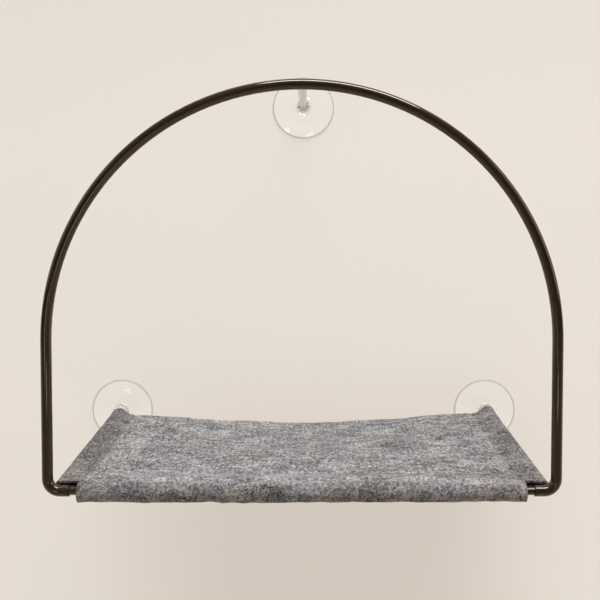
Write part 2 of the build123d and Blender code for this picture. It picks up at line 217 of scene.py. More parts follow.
def needle_felt():
    """Needled grey felt: dark, middle and pale fibres carded together and matted, so no weave shows.

    Real fibres are 0.03 mm thick. The strokes here are 1.2 mm wide and 3.8 mm long, as coarse as they need to
    be to show, and cross at four angles. On the panel they are drawn out 2.5 times further from front to
    back. Over them lie clumps of 5 mm, streaks of 7 by 17 mm across the panel and clouds of 36 by 50 mm,
    where the dark and pale fibres were mixed unevenly.
    """
    material, tree = start_material("needle_felt_grey")
    flat = add_node(tree, "ShaderNodeTexCoord").outputs["UV"]
    places = add_node(tree, "ShaderNodeSeparateXYZ", {"Vector": flat})
    # Lengths along the panel count for 0.4 of those on the front sleeve: 0.4 Y + 0.6 max(Y - mouth, 0)
    counted = 0.4
    past = add_node(tree, "ShaderNodeMath", {0: places.outputs["Y"], 1: mouth_t * mm}, operation="SUBTRACT")
    past = add_node(tree, "ShaderNodeMath", {0: past.outputs[0], 1: 0.0}, operation="MAXIMUM")
    past = add_node(tree, "ShaderNodeMath", {0: past.outputs[0], 1: 1 - counted}, operation="MULTIPLY")
    drawn_y = add_node(
        tree,
        "ShaderNodeMath",
        {0: places.outputs["Y"], 1: counted, 2: past.outputs[0]},
        operation="MULTIPLY_ADD",
    )
    laid = add_node(
        tree, "ShaderNodeCombineXYZ", {"X": places.outputs["X"], "Y": drawn_y.outputs[0]}
    ).outputs[0]
    # Two of the directions give the pale strokes, and two the dark ones
    lain = [felt_strokes(tree, laid, turn) for turn in (0.75, 1.3, 1.9, 2.45)]
    pale = add_node(tree, "ShaderNodeMath", {0: lain[0], 1: lain[2]}, operation="MAXIMUM").outputs[0]
    dark = add_node(tree, "ShaderNodeMath", {0: lain[1], 1: lain[3]}, operation="MINIMUM").outputs[0]
    clumps = add_node(
        tree, "ShaderNodeTexNoise", {"Vector": laid, "Scale": 190.0, "Detail": 3.0, "Roughness": 0.65}
    ).outputs["Fac"]
    drawn_x = add_node(tree, "ShaderNodeMapping", {"Vector": flat, "Scale": (0.42, 1.0, 1.0)})
    streaks = add_node(
        tree,
        "ShaderNodeTexNoise",
        {"Vector": drawn_x.outputs["Vector"], "Scale": 140.0, "Detail": 2.0, "Roughness": 0.6},
    ).outputs["Fac"]
    carded = add_node(tree, "ShaderNodeMapping", {"Vector": flat, "Scale": (1.0, 1.4, 1.0)})
    clouds = add_node(
        tree,
        "ShaderNodeTexNoise",
        {"Vector": carded.outputs["Vector"], "Scale": 20.0, "Detail": 3.0, "Roughness": 0.6},
    ).outputs["Fac"]
    # The patterns' sum, each with its share, less an offset that brings its mean to about a half
    level = -2.535
    for mixed, share in ((pale, 1.85), (dark, 1.85), (clumps, 0.6), (streaks, 0.9), (clouds, 1.0)):
        added = add_node(tree, "ShaderNodeMath", {0: mixed, 1: share, 2: level}, operation="MULTIPLY_ADD")
        level = added.outputs[0]
    tone = add_node(
        tree,
        "ShaderNodeValToRGB",
        {"Fac": level},
        stops=((0.0, "#302E2D"), (0.5, "#91908F"), (1.0, "#E6E5E4")),
    )
    # Bluish and brownish fibres were mixed unevenly, over about 50 mm
    tints = add_node(
        tree, "ShaderNodeTexNoise", {"Vector": flat, "Scale": 20.0, "Detail": 3.0, "Roughness": 0.6}
    )
    tint = add_node(
        tree,
        "ShaderNodeValToRGB",
        {"Fac": tints.outputs["Fac"]},
        stops=((0.36, "#F1F2F9"), (0.68, "#FAF6F2")),
    )
    # Drawn tight round the rods, the sleeves show more of the dark fibres, and they are also darkened with
    # painted shade where they turn from the overhead light; the panel's right end gets painted shade only
    sideways = add_node(tree, "ShaderNodeMath", {0: places.outputs["X"]}, operation="ABSOLUTE")
    side_sleeve = add_node(
        tree,
        "ShaderNodeMapRange",
        {
            "Value": sideways.outputs[0],
            "From Min": (seam_x - 0.5) * mm,
            "From Max": (seam_x + 4.5) * mm,
        },
        interpolation_type="SMOOTHSTEP",
    )
    front_sleeve = add_node(
        tree,
        "ShaderNodeMapRange",
        {
            "Value": places.outputs["Y"],
            "From Min": (mouth_t - 2) * mm,
            "From Max": (mouth_t + 14) * mm,
            "To Max": 0.75,
        },
        interpolation_type="SMOOTHSTEP",
    )
    tight_and_shaded = add_node(
        tree, "ShaderNodeMath", {0: side_sleeve.outputs[0], 1: front_sleeve.outputs[0]}, operation="MAXIMUM"
    )
    # Painted shade: the panel darkens slightly towards its right end
    right_end_painted_shade = add_node(
        tree,
        "ShaderNodeMapRange",
        {"Value": places.outputs["X"], "From Min": 20 * mm, "From Max": 200 * mm, "To Max": 0.3},
        interpolation_type="SMOOTHSTEP",
    )
    tight_and_shaded = add_node(
        tree, "ShaderNodeMath", {0: tight_and_shaded.outputs[0], 1: right_end_painted_shade.outputs[0]}, operation="MAXIMUM"
    )
    # White for the open panel, darker for the tight sleeves and the painted shade
    sleeve_and_shade_tone = add_node(
        tree,
        "ShaderNodeValToRGB",
        {"Fac": tight_and_shaded.outputs[0]},
        stops=((0.0, "#FFFFFF"), (0.75, "#E0DCD8"), (1.0, "#D2CEC9")),
    )
    # Sockets 6 and 7 are the Mix node's two colours, and its output 2 is their product
    colour = tone.outputs["Color"]
    for wash in (tint, sleeve_and_shade_tone):
        mixed = add_node(
            tree,
            "ShaderNodeMix",
            {"Factor": 1.0, 6: colour, 7: wash.outputs["Color"]},
            data_type="RGBA",
            blend_type="MULTIPLY",
        )
        colour = mixed.outputs[2]
    height = add_node(tree, "ShaderNodeMath", {0: pale, 1: 0.4, 2: clumps}, operation="MULTIPLY_ADD")
    bump = add_node(
        tree, "ShaderNodeBump", {"Height": height.outputs[0], "Strength": 0.45, "Distance": 0.0014}
    )
    shader = add_node(
        tree,
        "ShaderNodeBsdfPrincipled",
        {
            "Base Color": colour,
            "Roughness": 0.95,
            "IOR": 1.45,
            "Specular IOR Level": 0.15,
            "Sheen Weight": 0.12,
            "Sheen Roughness": 0.6,
            "Sheen Tint": linear("#D8D4D0"),
            "Normal": bump.outputs["Normal"],
        },
    )
    add_node(tree, "ShaderNodeOutputMaterial", {"Surface": shader.outputs["BSDF"]})
    return material


def clear_plastic(name, tint, roughness, ior, mark_scale, clearness=1.0, loss=22.0):
    """Clear moulded plastic: light passes through, with a faint unevenness of the mould on its gloss.

    The marks are 1000 / mark_scale mm across. Light that runs far inside the plastic, along a rim or round a
    lobe, is dimmed: by half in about 60 mm at a loss of 22.
    """
    material, tree = start_material(name)
    place = add_node(tree, "ShaderNodeTexCoord").outputs["Object"]
    marks = add_node(tree, "ShaderNodeTexNoise", {"Vector": place, "Scale": mark_scale, "Detail": 2.0})
    bump = add_node(
        tree, "ShaderNodeBump", {"Height": marks.outputs["Fac"], "Strength": 0.05, "Distance": 0.0003}
    )
    shader = add_node(
        tree,
        "ShaderNodeBsdfPrincipled",
        {
            "Base Color": linear(tint),
            "Roughness": roughness,
            "IOR": ior,
            "Transmission Weight": clearness,
            "Normal": bump.outputs["Normal"],
        },
    )
    dimmed = add_node(tree, "ShaderNodeVolumeAbsorption", {"Color": linear("#BDBBB4"), "Density": loss})
    add_node(
        tree, "ShaderNodeOutputMaterial", {"Surface": shader.outputs["BSDF"], "Volume": dimmed.outputs[0]}
    )
    return material


def plated_steel(name, colour, roughness, scale):
    """Bright zinc on steel, or bare drawn wire: a cool metal, faintly cloudy over 1000 / scale mm."""
    material, tree = start_material(name)
    place = add_node(tree, "ShaderNodeTexCoord").outputs["Object"]
    cloud = add_node(tree, "ShaderNodeTexNoise", {"Vector": place, "Scale": scale, "Detail": 4.0})
    tone = add_node(
        tree, "ShaderNodeValToRGB", {"Fac": cloud.outputs["Fac"]}, stops=((0.25, colour), (0.8, "#D8D9D6"))
    )
    rough = add_node(
        tree,
        "ShaderNodeMapRange",
        {"Value": cloud.outputs["Fac"], "To Min": roughness, "To Max": roughness + 0.15},
    )
    shader = add_node(
        tree,
        "ShaderNodeBsdfPrincipled",
        {"Base Color": tone.outputs["Color"], "Roughness": rough.outputs["Result"], "Metallic": 1.0},
    )
    add_node(tree, "ShaderNodeOutputMaterial", {"Surface": shader.outputs["BSDF"]})
    return material


def plain_polymer(name, colour, pale, roughness, scale):
    """Moulded nylon or spun thread: a plain colour that drifts slightly, with a grain of 1000 / scale mm."""
    material, tree = start_material(name)
    place = add_node(tree, "ShaderNodeTexCoord").outputs["Object"]
    grain = add_node(tree, "ShaderNodeTexNoise", {"Vector": place, "Scale": scale, "Detail": 4.0})
    tone = add_node(
        tree, "ShaderNodeValToRGB", {"Fac": grain.outputs["Fac"]}, stops=((0.3, colour), (0.75, pale))
    )
    bump = add_node(
        tree, "ShaderNodeBump", {"Height": grain.outputs["Fac"], "Strength": 0.15, "Distance": 0.0002}
    )
    shader = add_node(
        tree,
        "ShaderNodeBsdfPrincipled",
        {
            "Base Color": tone.outputs["Color"],
            "Roughness": roughness,
            "IOR": 1.5,
            "Normal": bump.outputs["Normal"],
        },
    )
    add_node(tree, "ShaderNodeOutputMaterial", {"Surface": shader.outputs["BSDF"]})
    return material


def dress(piece, material):
    """Gives the whole piece one material."""
    piece.data.materials.clear()
    piece.data.materials.append(material)


painted_tube = powder_coat("powder_coat_bronze_tube", "#23170B", "#2E1F10")
painted_rod = powder_coat("powder_coat_bronze_rod", "#22160B", "#2C1E10")
grey_felt = needle_felt()
# Soft vinyl, moulded glossy: the wall shows through it, and only its trimmed, matt rim draws a line
clear_cup = clear_plastic("soft_vinyl_clear", "#FBFAF8", 0.03, 1.53, 60.0, loss=8.0)
trimmed_rim = clear_plastic("soft_vinyl_trimmed_rim", "#DCD4CA", 0.4, 1.53, 400.0, 0.6, loss=8.0)
# Acrylic, moulded: sharp gleams on the lobes; the sawn slots between them are matt, and their dark colour is
# painted shade
clear_acrylic = clear_plastic("acrylic_clear_moulded", "#FAFAF8", 0.02, 1.49, 120.0, loss=30.0)
slot_acrylic_painted_shade = clear_plastic("acrylic_sawn_slot_painted_shade", "#332D28", 0.45, 1.49, 400.0, 0.25, loss=30.0)
# A stud's head lies inside the vinyl, which bends light almost as much, so its edge hardly shows
clear_stud = clear_plastic("acrylic_clear_in_vinyl", "#FAFAF8", 0.02, 1.06, 120.0, loss=8.0)
# Vinyl tube, extruded: slightly milky, with soft gleams along it
clear_tube = clear_plastic("vinyl_tube_clear_extruded", "#D5CEC4", 0.12, 1.5, 90.0, 0.8)
# Zinc plate is pale and bright, and bare drawn wire is darker and duller
zinc_steel = plated_steel("zinc_plated_steel", "#9FA1A0", 0.22, 240.0)
cable_steel = plated_steel("drawn_steel_wire", "#55534F", 0.35, 500.0)
# Moulded nylon is nearly black with a half matt skin, and felt fibres and thread are matt
black_nylon = plain_polymer("nylon_black_moulded", "#121110", "#1D1B1A", 0.45, 700.0)
fibre_pale = plain_polymer("felt_fibre_pale", "#A09D9D", "#BDBABA", 0.9, 900.0)
fibre_dark = plain_polymer("felt_fibre_dark", "#2B2827", "#454140", 0.9, 900.0)
seam_thread = plain_polymer("sewing_thread_grey", "#6F6C6B", "#8F8C8A", 0.8, 1500.0)


# Camera and stage
def place_camera():
    """The photograph's camera: 1.15 m from the glass, just right of the middle, tipped down 2 degrees.

    Its focal length is 777 pixels of a picture 600 pixels wide, and the shift puts the object in its place.
    """
    focal_pixels, picture_pixels, tipped = 777, 600, 2.0
    lens = bpy.data.cameras.new("camera")
    lens.sensor_width = 36.0
    lens.lens = lens.sensor_width * focal_pixels / picture_pixels
    lens.shift_x = -0.0132
    lens.shift_y = -0.1619
    camera = bpy.data.objects.new("camera", lens)
    camera.location = (0.0066, -1.150, 0.3492)
    camera.rotation_euler = (math.radians(90 - tipped), 0, 0)
    bpy.context.scene.collection.objects.link(camera)
    bpy.context.scene.camera = camera


def backdrop():
    """A pale sweep: floor, rounded corner and wall in one sheet, seen only from the room's side.

    The profile runs along the floor, round a quarter circle of 300 mm, and up the wall behind the glass.
    """
    floor_z, wall_y, bend, half_width, top, front = -700.0, 1.0, 300.0, 4500.0, 3200.0, -4500.0
    turn = np.linspace(0, np.pi / 2, 25)
    y = np.concatenate([[front], wall_y - bend + bend * np.sin(turn), [wall_y]])
    z = np.concatenate([[floor_z], floor_z + bend - bend * np.cos(turn), [top]])
    x = np.array([-half_width, half_width])
    points = np.stack([np.tile(x, len(y)), np.repeat(y, 2), np.repeat(z, 2)], -1)
    sweep = add_mesh("backdrop", points, grid_faces(len(y), 2))
    material, tree = start_material("backdrop_paint_cream")
    paint = add_node(
        tree,
        "ShaderNodeBsdfPrincipled",
        {"Base Color": linear("#E7DED4"), "Roughness": 1.0, "Specular IOR Level": 0.0},
    )
    # A soft pool of shade on the wall under the seat: full within 120 mm of X = 50 mm and below Z = -100 mm,
    # and gone 420 mm to either side and above Z = 120 mm
    place = add_node(tree, "ShaderNodeTexCoord").outputs["Object"]
    spot = add_node(tree, "ShaderNodeSeparateXYZ", {"Vector": place})
    beside = add_node(tree, "ShaderNodeMath", {0: spot.outputs["X"], 1: 0.05}, operation="SUBTRACT")
    wide = add_node(tree, "ShaderNodeMath", {0: beside.outputs[0]}, operation="ABSOLUTE")
    within = add_node(
        tree,
        "ShaderNodeMapRange",
        {"Value": wide.outputs[0], "From Min": 0.42, "From Max": 0.12},
        interpolation_type="SMOOTHSTEP",
    )
    under = add_node(
        tree,
        "ShaderNodeMapRange",
        {"Value": spot.outputs["Z"], "From Min": 0.12, "From Max": -0.1},
        interpolation_type="SMOOTHSTEP",
    )
    wall = add_node(
        tree, "ShaderNodeMapRange", {"Value": spot.outputs["Y"], "From Min": -0.45, "From Max": -0.2}
    )
    pool = add_node(tree, "ShaderNodeMath", {0: within.outputs[0], 1: under.outputs[0]}, operation="MULTIPLY")
    pool = add_node(tree, "ShaderNodeMath", {0: pool.outputs[0], 1: wall.outputs[0]}, operation="MULTIPLY")
    cream = add_node(
        tree, "ShaderNodeValToRGB", {"Fac": pool.outputs[0]}, stops=((0.0, "#FDF4E9"), (1.0, "#EBE0D5"))
    )
    path = add_node(tree, "ShaderNodeLightPath")
    # Gloss shows the floor dimmer away from the wall, as a room is, and the wall dims a little near its top
    away = add_node(
        tree,
        "ShaderNodeMapRange",
        {"Value": spot.outputs["Y"], "From Min": -1.6, "From Max": 0.2, "To Min": 0.25, "To Max": 1.0},
        interpolation_type="SMOOTHSTEP",
    )
    away = add_node(
        tree, "ShaderNodeMath", {0: away.outputs[0], 1: path.outputs["Is Camera Ray"]}, operation="MAXIMUM"
    )
    high = add_node(
        tree,
        "ShaderNodeMapRange",
        {"Value": spot.outputs["Z"], "From Min": 0.35, "From Max": 0.65, "To Min": 1.0, "To Max": 0.93},
        interpolation_type="SMOOTHSTEP",
    )
    # Far from the lamps the floor's own cream takes over from the light on it
    far_off = add_node(
        tree,
        "ShaderNodeMapRange",
        {"Value": spot.outputs["Y"], "From Min": -0.3, "From Max": -2.8, "To Min": 1.0, "To Max": 0.87},
    )
    fade = add_node(tree, "ShaderNodeMath", {0: away.outputs[0], 1: high.outputs[0]}, operation="MULTIPLY")
    fade = add_node(tree, "ShaderNodeMath", {0: fade.outputs[0], 1: far_off.outputs[0]}, operation="MULTIPLY")
    even = add_node(
        tree, "ShaderNodeEmission", {"Color": cream.outputs["Color"], "Strength": fade.outputs[0]}
    )
    # Clear pieces show the wall as the camera sees it, lighter towards its top, and the room a little dimmer
    lit = add_node(
        tree,
        "ShaderNodeMapRange",
        {"Value": spot.outputs["Z"], "From Min": -0.3, "From Max": 0.55, "To Min": 1.0, "To Max": 1.11},
    )
    beyond = add_node(
        tree,
        "ShaderNodeMapRange",
        {"Value": spot.outputs["Y"], "From Min": -1.6, "From Max": 0.2, "To Min": 0.8, "To Max": 1.0},
    )
    lit = add_node(tree, "ShaderNodeMath", {0: lit.outputs[0], 1: beyond.outputs[0]}, operation="MULTIPLY")
    behind = add_node(tree, "ShaderNodeEmission", {"Color": linear("#EEE8DF"), "Strength": lit.outputs[0]})
    clear = add_node(tree, "ShaderNodeBsdfTransparent")
    back = add_node(tree, "ShaderNodeNewGeometry").outputs["Backfacing"]
    direct = add_node(
        tree,
        "ShaderNodeMath",
        {0: path.outputs["Is Camera Ray"], 1: path.outputs["Is Glossy Ray"]},
        operation="MAXIMUM",
    )
    own = add_node(
        tree,
        "ShaderNodeMapRange",
        {"Value": spot.outputs["Y"], "From Min": -0.3, "From Max": -2.8, "To Min": 0.66, "To Max": 0.96},
    )
    share = add_node(tree, "ShaderNodeMath", {0: direct.outputs[0], 1: own.outputs[0]}, operation="MULTIPLY")
    seen = add_node(
        tree, "ShaderNodeMixShader", {0: share.outputs[0], 1: paint.outputs[0], 2: even.outputs[0]}
    )
    room = add_node(
        tree,
        "ShaderNodeMixShader",
        {0: path.outputs["Is Transmission Ray"], 1: seen.outputs[0], 2: behind.outputs[0]},
    )
    shown = add_node(tree, "ShaderNodeMixShader", {0: back, 1: room.outputs[0], 2: clear.outputs[0]})
    add_node(tree, "ShaderNodeOutputMaterial", {"Surface": shown.outputs[0]})
    dress(sweep, material)


def softbox(name, centre, aim, size, power, colour):
    """A rectangular lamp at a point, turned to face another point; places in metres, power in watts."""
    lamp = bpy.data.lights.new(name, "AREA")
    lamp.shape = "RECTANGLE"
    lamp.size, lamp.size_y = size
    lamp.energy = power
    lamp.color = linear(colour)[:3]
    made = bpy.data.objects.new(name, lamp)
    away = Vector(centre) - Vector(aim)
    away.normalize()
    # The lamp's width is level, and an overhead lamp's runs across the window
    upright = Vector((0, 1, 0)) if away.z > 0.7 else Vector((0, 0, 1))
    wide = upright.cross(away).normalized()
    turned_to = Matrix((wide, away.cross(wide), away)).transposed()
    made.location = centre
    made.rotation_euler = turned_to.to_euler()
    made.visible_camera = False
    bpy.context.scene.collection.objects.link(made)


def light_room():
    """Soft light from overhead, a weak window on each side, two low panes that gleam in the top cup, and a
    dim room.
    """
    softbox("overhead", (0.35, -0.75, 2.2), (0.0, -0.15, 0.1), (1.55, 0.6), 41.0, "#F6F9FF")
    softbox("right_window", (2.3, -0.9, 0.9), (0.0, -0.2, 0.2), (0.8, 1.6), 7.0, "#FFF8EE")
    softbox("left_window", (-2.4, -0.8, 1.0), (0.0, -0.2, 0.2), (0.8, 1.6), 4.0, "#FFF8EE")
    softbox("low_pane_left", (-0.53, -1.6, -0.09), (0.0, 0.0, 0.43), (0.14, 0.2), 0.27, "#FFFFFF")
    softbox("low_pane_right", (0.19, -1.6, -0.24), (0.0, 0.0, 0.43), (0.26, 0.12), 0.27, "#FFFFFF")
    world = bpy.data.worlds.new("room")
    world.use_nodes = True
    tree = world.node_tree
    tree.nodes.clear()
    path = add_node(tree, "ShaderNodeLightPath")
    seen = add_node(
        tree,
        "ShaderNodeMath",
        {0: path.outputs["Is Camera Ray"], 1: path.outputs["Is Transmission Ray"]},
        operation="MAXIMUM",
    )
    # The room is dim at eye level and brighter overhead, and through clear pieces it is darker than the wall
    direction = add_node(tree, "ShaderNodeTexCoord").outputs["Generated"]
    way = add_node(tree, "ShaderNodeSeparateXYZ", {"Vector": direction})
    height = add_node(
        tree,
        "ShaderNodeMapRange",
        {"Value": way.outputs["Z"], "From Min": 0.0, "From Max": 0.9, "To Min": 0.09, "To Max": 0.32},
    )
    room = add_node(tree, "ShaderNodeBackground", {"Color": linear("#FFF6EC"), "Strength": height.outputs[0]})
    depth = add_node(
        tree,
        "ShaderNodeMapRange",
        {"Value": way.outputs["Y"], "From Min": -0.5, "From Max": 0.1, "To Min": 0.76, "To Max": 1.0},
    )
    depth = add_node(
        tree, "ShaderNodeMath", {0: depth.outputs[0], 1: path.outputs["Is Camera Ray"]}, operation="MAXIMUM"
    )
    far = add_node(tree, "ShaderNodeBackground", {"Color": linear("#E8DFD6"), "Strength": depth.outputs[0]})
    both = add_node(tree, "ShaderNodeMixShader", {0: seen.outputs[0], 1: room.outputs[0], 2: far.outputs[0]})
    add_node(tree, "ShaderNodeOutputWorld", {"Surface": both.outputs[0]})
    bpy.context.scene.world = world


place_camera()
backdrop()
light_room()
bpy.context.scene.view_settings.view_transform = "Standard"


# Felt sling
def panel_height(x, y):
    """Middle layer of the seat: edge - sag (1 - |x / 242|^p), with p from 2.2 in front to 1.45 at the rear.

    The sag grows on a smooth step from 1.2 mm in front to 13.8 mm at the rear edge, whose right end sits 3 mm
    higher than its left. Ripples of 0.5 and 0.2 mm lie on it, and the seat rises over the front bars on a
    smooth step 31 mm long.
    """
    bowl_front_y = -258
    back = np.clip((y - bowl_front_y) / 225, 0, 1)
    part = np.clip(x / seam_x, -1, 1)
    edge = 4.0 - 1.0 * back**2
    sag = 1.2 + 12.6 * smooth_step(back * 1.1)
    bowl = edge - sag * (1 - np.abs(part) ** (2.2 - 0.75 * back)) + 1.5 * part * back**2
    bowl = bowl + 0.5 * ripple(x, y, 90, 5) * (1 - 0.4 * back) + 0.2 * ripple(x, y, 34, 8)
    over_bars = smooth_step((bowl_front_y - y) / 31)
    return bowl + (bar_top - bowl) * over_bars


def line_ends(s):
    """Rear and front ends of each line of the cut sheet, as places along Y.

    The cut at the rear is uneven by 0.6 and 0.25 mm. At the front, the corner past the front sleeve is cut
    back 2.5 mm on a smooth step 15 mm long, and by 12 mm in all on another, 16 mm long, under the side rod.
    """
    u = np.abs(s)
    rear = rear_edge_y + 0.6 * ripple(s, 0 * s, 70, 21) + 0.25 * ripple(s, 0 * s, 17, 22)
    mouth = front_edge_y + 2.5 * smooth_step((u - front_end_x) / 15) + 9.5 * smooth_step((u - 272) / 16)
    return rear, mouth


def sheet_points(s, t):
    """Middle layer of the whole cut sheet, from flat places s across and t along, both in millimetres.

    Across: level to the side rod, half an ellipse round it, then back under to the side seam.
    Along: from the rear edge to the front bars, half an ellipse round them, then under to the front seam.
    """
    side = np.sign(s)
    u = np.abs(s)
    rear, mouth = line_ends(s)
    y = rear + (np.minimum(t, mouth_t) / mouth_t) * (mouth - rear)
    # From 0 at the side sleeve's front to 1 at the rear edge
    back = np.clip((y + 290) / 257, 0, 1)
    # The sleeves' rear ends rise towards the cups, by 3.9 mm on the left and 7.7 mm on the right
    lift = 5.8 * back**2 + 1.9 * side * back**2
    # The middle layer lies round the side rod's axis at its radius, half the felt and 0.6 mm of slack
    snug = 6.6
    rod_top = snug + lift + 0.35 * ripple(y, 0 * y + 3 * side, 60, 31)
    rod_bottom = snug + 0.9 * back
    reach = snug + 0.5 * back
    # Top of the sheet, as far as the rod: at the rear the sleeve's crest lies 4 mm inside the rod
    inset = 4.0 * back
    peak_x = across_arc - inset
    climb = np.clip((u - seam_x) / (across_arc - seam_x), 0, 1)
    x = side * (np.minimum(u, across_arc) - inset * climb)
    edge = panel_height(side * seam_x, y)
    rise = (1 - back) * np.sin(0.5 * np.pi * climb) ** 1.15 + back * smooth_step(climb**1.6)
    top = np.where(u <= seam_x, panel_height(x, y), edge + (rod_top - edge) * rise)
    # The stitched line draws the felt in by a little over a millimetre
    top = top - 1.3 * np.exp(-(((u - seam_x - 1) / 3.2) ** 2)) * smooth_step((y + 297) / 14)
    z = top
    # Round the side rod
    turn = np.clip((u - across_arc) / (across_under - across_arc), 0, 1) * np.pi
    round_x = np.where(
        turn < np.pi / 2,
        peak_x + (side_rod_x + reach - peak_x) * np.sin(turn),
        side_rod_x + reach * np.sin(turn),
    )
    round_z = np.where(turn < np.pi / 2, rod_top * np.cos(turn), rod_bottom * np.cos(turn))
    on_round = (u > across_arc) & (u <= across_under)
    x = np.where(on_round, side * round_x, x)
    z = np.where(on_round, round_z, z)
    # Back under to the side seam, over a lap 30.5 mm wide
    lap = 30.5
    under = np.clip((u - across_under) / (across_end - across_under), 0, 1)
    lower = edge - felt_thickness - 0.1
    on_under = u > across_under
    x = np.where(on_under, side * (side_rod_x - lap * under), x)
    z = np.where(on_under, -rod_bottom + (lower + rod_bottom) * smooth_step(under), z)
    # Round the front bars and back under to the front seam
    on_front = t > mouth_t + 1e-6
    past = np.clip((t - mouth_t) / (wrap_t - mouth_t), 0, 1)
    y = np.where(on_front, front_edge_y + (wrap_y - front_edge_y) * past, y)
    slack = 0.3 * ripple(s, 0 * s, 55, 41) + 0.22 * ripple(s, 0 * s, 23, 43)
    # Left of the middle the front sleeve hangs 1 mm lower
    hang = slack + 1.0 * np.exp(-(((s + 55) / 130) ** 2))
    turn = np.clip((t - wrap_t) / (wrap_under_t - wrap_t), 0, 1) * np.pi
    middle_z = 0.5 * (bar_top + bar_bottom)
    half_height = 0.5 * (bar_top - bar_bottom)
    front_z = middle_z + (half_height + np.where(turn < np.pi / 2, 0, hang)) * np.cos(turn)
    z = np.where(on_front, front_z, z)
    y = np.where(t > wrap_t, wrap_y - (wrap_reach + slack) * np.sin(turn), y)
    bottom = bar_bottom - hang
    level_run = flap_t - wrap_under_t
    flat_under = np.clip((t - wrap_under_t) / level_run, 0, 1)
    y = np.where(t > wrap_under_t, wrap_y + level_run * flat_under, y)
    z = np.where(t > wrap_under_t, bottom, z)
    # The lap of 36 mm rises to the panel's underside over a run of 33 mm
    flap = np.clip((t - flap_t) / (flap_end_t - flap_t), 0, 1)
    y = np.where(t > flap_t, wrap_y + level_run + 33 * flap, y)
    lap_end_y = -257.0
    below = panel_height(np.clip(s, -seam_x, seam_x), np.full_like(s, lap_end_y))
    below = below - felt_thickness * (1 + smooth_step((u - 230) / 8)) - 0.15
    z = np.where(t > flap_t, bottom + (below - bottom) * smooth_step(flap), z)
    x = np.where(on_front, s, x)
    return np.stack([x, y, z], -1)


def spaced(*spans):
    """Places along a line: each span is (start, end, step), and its end belongs to the next span."""
    parts = [np.linspace(a, b, max(2, round((b - a) / step) + 1))[:-1] for a, b, step in spans]
    return np.concatenate([*parts, [spans[-1][1]]])


def sheet_frame(s, t, step=0.25):
    """Middle layer and its outward unit normal, from the cross product of the two small steps."""
    here = sheet_points(s, t)
    along_s = sheet_points(s + step, t) - sheet_points(s - step, t)
    along_t = sheet_points(s, t + step) - sheet_points(s, t - step)
    normal = np.cross(along_t, along_s)
    normal /= np.maximum(np.linalg.norm(normal, axis=-1, keepdims=True), 1e-9)
    return here, normal


def make_felt():
    """The sheet's middle layer on a grid of flat places, with the two front corners cut out.

    It is thickened to 3 mm, and its cut edges are rounded by 0.5 mm. The flat map is in metres: across the
    sheet, and from the rear edge along each line at its true length. The area is that of the kept faces, each
    half the cross product of its diagonals.
    """
    half = spaced(
        (0, 236, 2.5),
        (236, front_end_x, 1.5),
        (front_end_x, across_arc, 2.0),
        (across_arc, across_under, 1.1),
        (across_under, across_end, 2.2),
    )
    across = np.concatenate([-half[:0:-1], half])
    along = spaced(
        (0, 250, 2.5),
        (250, mouth_t, 1.5),
        (mouth_t, wrap_t, 1.5),
        (wrap_t, wrap_under_t, 1.1),
        (wrap_under_t, flap_end_t, 2.3),
    )
    t, s = (grid.ravel() for grid in np.meshgrid(along, across, indexing="ij"))
    points = sheet_points(s, t)
    rear, mouth = line_ends(s)
    flat_t = np.where(t > mouth_t, t, t / mouth_t * (rear - mouth))
    faces = grid_faces(len(along), len(across))
    middle_s = np.abs(s[faces].mean(1))
    middle_t = t[faces].mean(1)
    kept = faces[~((middle_s > front_end_x) & (middle_t > mouth_t))]
    used, again = np.unique(kept, return_inverse=True)
    flat = np.stack([s, flat_t], -1) * mm
    felt = add_mesh("felt_sheet", points[used], again.reshape(-1, 4)[:, ::-1], uv=flat[used])
    wall = felt.modifiers.new("thickness", "SOLIDIFY")
    wall.thickness = felt_thickness * mm
    wall.offset = 0.0
    cut_edge = felt.modifiers.new("cut_edge", "BEVEL")
    cut_edge.width = 0.5 * mm
    cut_edge.segments = 2
    cut_edge.limit_method = "ANGLE"
    cut_edge.angle_limit = 1.0
    dress(felt, grey_felt)
    corner = flat[kept]
    sides = corner[:, 2] - corner[:, 0], corner[:, 3] - corner[:, 1]
    area = 0.5 * np.abs(sides[0][:, 0] * sides[1][:, 1] - sides[0][:, 1] * sides[1][:, 0]).sum()
    return felt, float(area)


